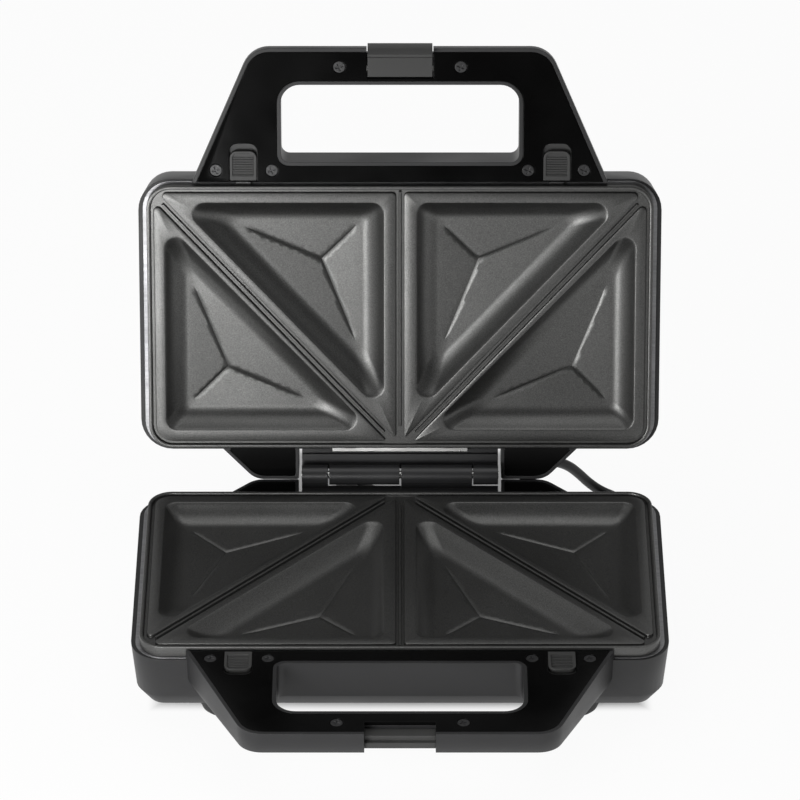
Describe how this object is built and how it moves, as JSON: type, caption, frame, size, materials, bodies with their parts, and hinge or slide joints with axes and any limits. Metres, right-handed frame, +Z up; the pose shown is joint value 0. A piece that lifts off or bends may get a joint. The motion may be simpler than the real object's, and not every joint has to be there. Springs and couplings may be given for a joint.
{
  "type": "sandwich toaster",
  "caption": "Deep-fill sandwich toaster, lid open: hinged halves with pocketed non-stick plates, open loop handles, swinging latch clip, plate-release slides and mains cord.",
  "frame": {"origin": "on the table under the middle of the open toaster's box, cord left out", "axes": "+Y from the handles to the hinge, +Z up, +X to the right of someone facing the handles"},
  "size_m": [0.2604, 0.4087, 0.2631],
  "materials": {
    "housing": "satin",
    "gloss_cover": "gloss",
    "handle_cover": "gloss",
    "plate_coating": "dark non-stick coating",
    "bright_steel": "bright",
    "dark_steel": "black oxide",
    "element": "dull",
    "aluminised": "bright",
    "grey_plastic": "satin",
    "rubber": "matte",
    "cord": "satin",
    "red_lens": "clear",
    "green_lens": "clear",
    "ceramic": "matte",
    "brass_pin": "bright"
  },
  "bodies": {
    "base": {"base_shell": "housing", "base_handle_cover": "handle_cover", "base_lobe_covers": "gloss_cover", "base_reflector": "aluminised", "base_element": "element", "base_plate": "plate_coating", "base_plate_retainer": "bright_steel", "latch_keeper": "grey_plastic", "base_cover_screws": "dark_steel", "base_hinge_bracket": "dark_steel", "hinge_pin": "bright_steel", "thermostat": "bright_steel", "thermal_fuse": "ceramic", "terminal_block": "ceramic", "feet": "rubber", "foot_screws": "bright_steel", "base_hinge_screws": "dark_steel", "base_reflector_screws": "bright_steel", "base_spring_left": "bright_steel", "base_spring_right": "bright_steel", "strain_relief": "rubber", "mains_cord": "cord", "cord_coil": "cord", "cord_tie": "cord", "plug_body": "cord", "plug_pins": "brass_pin"},
    "lid": {"lid_shell": "housing", "lid_handle_cover": "handle_cover", "lid_lobe_covers": "gloss_cover", "lid_reflector": "aluminised", "lid_element": "element", "lid_plate": "plate_coating", "lid_plate_retainer": "bright_steel", "lid_cover_screws": "dark_steel", "lid_hinge_bracket": "dark_steel", "latch_pin": "bright_steel", "power_lens": "red_lens", "ready_lens": "green_lens", "indicator_lamps": "ceramic", "lid_hinge_screws": "dark_steel", "lid_reflector_screws": "bright_steel", "lid_spring_left": "bright_steel", "lid_spring_right": "bright_steel"},
    "latch": {"latch_clip": "grey_plastic"},
    "base_slider_left": {"base_slider_left": "grey_plastic", "base_catch_left": "bright_steel"},
    "base_slider_right": {"base_slider_right": "grey_plastic", "base_catch_right": "bright_steel"},
    "lid_slider_left": {"lid_slider_left": "grey_plastic", "lid_catch_left": "bright_steel"},
    "lid_slider_right": {"lid_slider_right": "grey_plastic", "lid_catch_right": "bright_steel"}
  },
  "joints": [
    {"name": "lid_hinge", "type": "hinge", "parent": "base", "child": "lid", "pos_m": [0, 0.07355, 0.0485], "axis": [1, 0, 0], "range_deg": [0, 105.2]},
    {"name": "latch_pivot", "type": "hinge", "parent": "lid", "child": "latch", "pos_m": [0, 0.13365, 0.24875], "axis": [-1, 0, 0], "range_deg": [-4, 14]},
    {"name": "base_release_left", "type": "slide", "parent": "base", "child": "base_slider_left", "axis": [0, -1, 0], "range_m": [0, 0.0035], "stiffness_N_per_m": 300, "springref_m": -0.003, "deforming": ["base_spring_left"]},
    {"name": "base_release_right", "type": "slide", "parent": "base", "child": "base_slider_right", "axis": [0, -1, 0], "range_m": [0, 0.0035], "stiffness_N_per_m": 300, "springref_m": -0.003, "deforming": ["base_spring_right"]},
    {"name": "lid_release_left", "type": "slide", "parent": "lid", "child": "lid_slider_left", "axis": [0, 0.2622, 0.965], "range_m": [0, 0.0035], "stiffness_N_per_m": 300, "springref_m": -0.003, "deforming": ["lid_spring_left"]},
    {"name": "lid_release_right", "type": "slide", "parent": "lid", "child": "lid_slider_right", "axis": [0, 0.2622, 0.965], "range_m": [0, 0.0035], "stiffness_N_per_m": 300, "springref_m": -0.003, "deforming": ["lid_spring_right"]}
  ]
}
